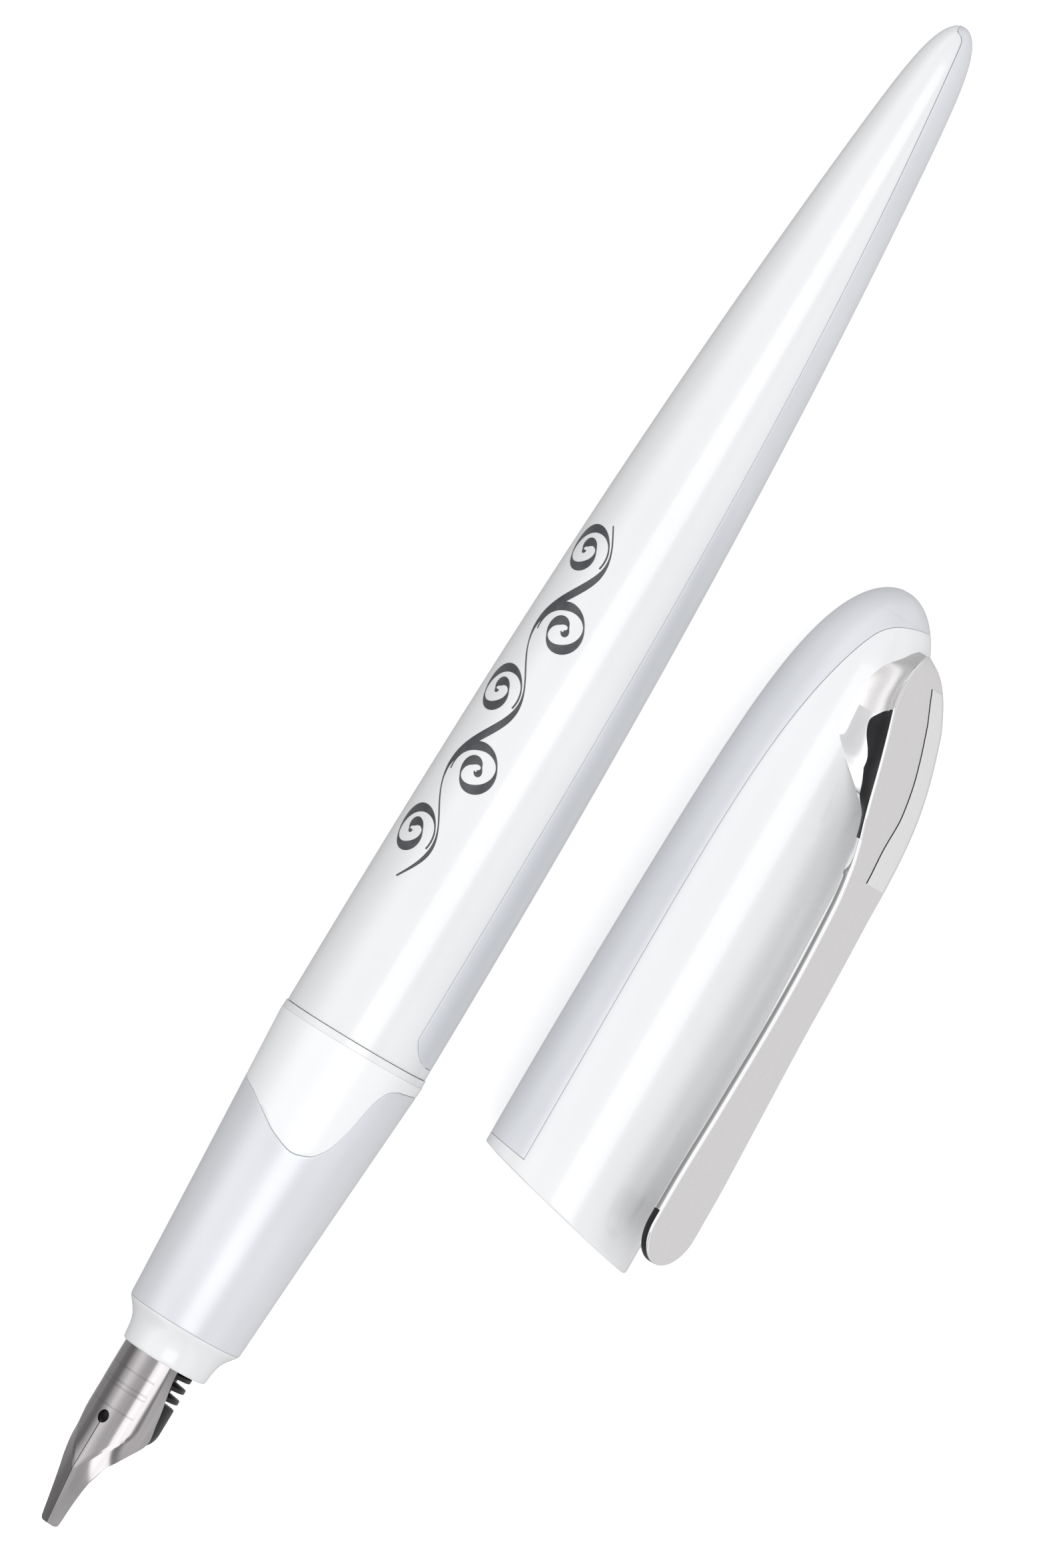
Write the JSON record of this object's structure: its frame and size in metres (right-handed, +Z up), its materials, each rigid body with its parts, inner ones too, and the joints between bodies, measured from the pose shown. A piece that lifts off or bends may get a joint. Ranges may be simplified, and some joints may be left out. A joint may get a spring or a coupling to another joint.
{
  "type": "calligraphy fountain pen",
  "caption": "Italic-nib calligraphy fountain pen lying uncapped beside its clip cap; tapered white barrel, pearl grip, cartridge inside.",
  "frame": {"origin": "bottom centre of the whole object's box, on the surface that the pen and cap lie on", "axes": "+X along the pen's axis from the nib to the tail, +Z up from the surface, +Y from the cap's side to the pen's side"},
  "size_m": [0.1401, 0.0377, 0.0164],
  "materials": {
    "white_gloss": "high gloss moulded white, clear lacquered",
    "pearl_white": "pearlescent milky white moulding",
    "pearl_grey": "pearlescent blue-grey moulding with fine flake",
    "nib_steel": "bright rolled stainless steel, fine grain along the nib",
    "feed_black": "satin black moulding",
    "seal_rubber": "black O-ring rubber",
    "cartridge": "translucent blue polythene filled with ink",
    "ball_white": "polished plastic ball",
    "clip_chrome": "polished plating",
    "clip_satin": "satin plating on the face, polished edges"
  },
  "bodies": {
    "barrel": {"barrel_shell": "white_gloss", "barrel_strip": "pearl_grey", "barrel_ring": "white_gloss", "thread_sleeve": "white_gloss"},
    "seal": {"seal_ring": "seal_rubber"},
    "section": {"section_core": "pearl_white", "section_collar": "pearl_white", "grip_sleeve": "pearl_grey", "piercing_tube": "pearl_white"},
    "nib_unit": {"nib_holder": "white_gloss", "nib": "nib_steel", "feed": "feed_black"},
    "cartridge": {"ink_cartridge": "cartridge"},
    "ball": {"cartridge_ball": "ball_white"},
    "cap": {"cap_shell": "white_gloss", "cap_strip": "pearl_grey", "inner_cap": "pearl_white", "snap_collar": "white_gloss", "clip_root": "clip_satin"},
    "clip": {"clip_blade": "clip_satin", "clip_bead": "clip_chrome"}
  },
  "joints": [
    {"name": "section_advance", "type": "slide", "parent": "barrel", "child": "seal", "axis": [-1, 0, 0], "range_m": [0, 0.0075]},
    {"name": "section_turn", "type": "hinge", "parent": "seal", "child": "section", "pos_m": [-0.0248, 0.0124, 0.00647], "axis": [-1, 0, 0], "range_deg": [0, 1801]},
    {"name": "nib_unit_pull", "type": "slide", "parent": "section", "child": "nib_unit", "axis": [-1, 0, 0], "range_m": [0, 0.0105]},
    {"name": "cartridge_pull", "type": "slide", "parent": "section", "child": "cartridge", "axis": [1, 0, 0], "range_m": [0, 0.008]},
    {"name": "ball_roll", "type": "slide", "parent": "cartridge", "child": "ball", "axis": [1, 0, 0], "range_m": [0, 0.024]},
    {"name": "cap_travel", "type": "slide", "parent": "barrel", "child": "cap", "axis": [-0.9998, -0.0209, 0], "range_m": [0, 0.047]},
    {"name": "clip_flex", "type": "hinge", "parent": "cap", "child": "clip", "pos_m": [0.00921, -0.01532, 0.01327], "axis": [-0.0123, 0.5877, 0.809], "range_deg": [0, 4], "stiffness_Nm_per_rad": 3}
  ],
  "couplings": [
    {"joint": "section_turn", "follows": "section_advance", "rad_per_m": 4188.8}
  ]
}
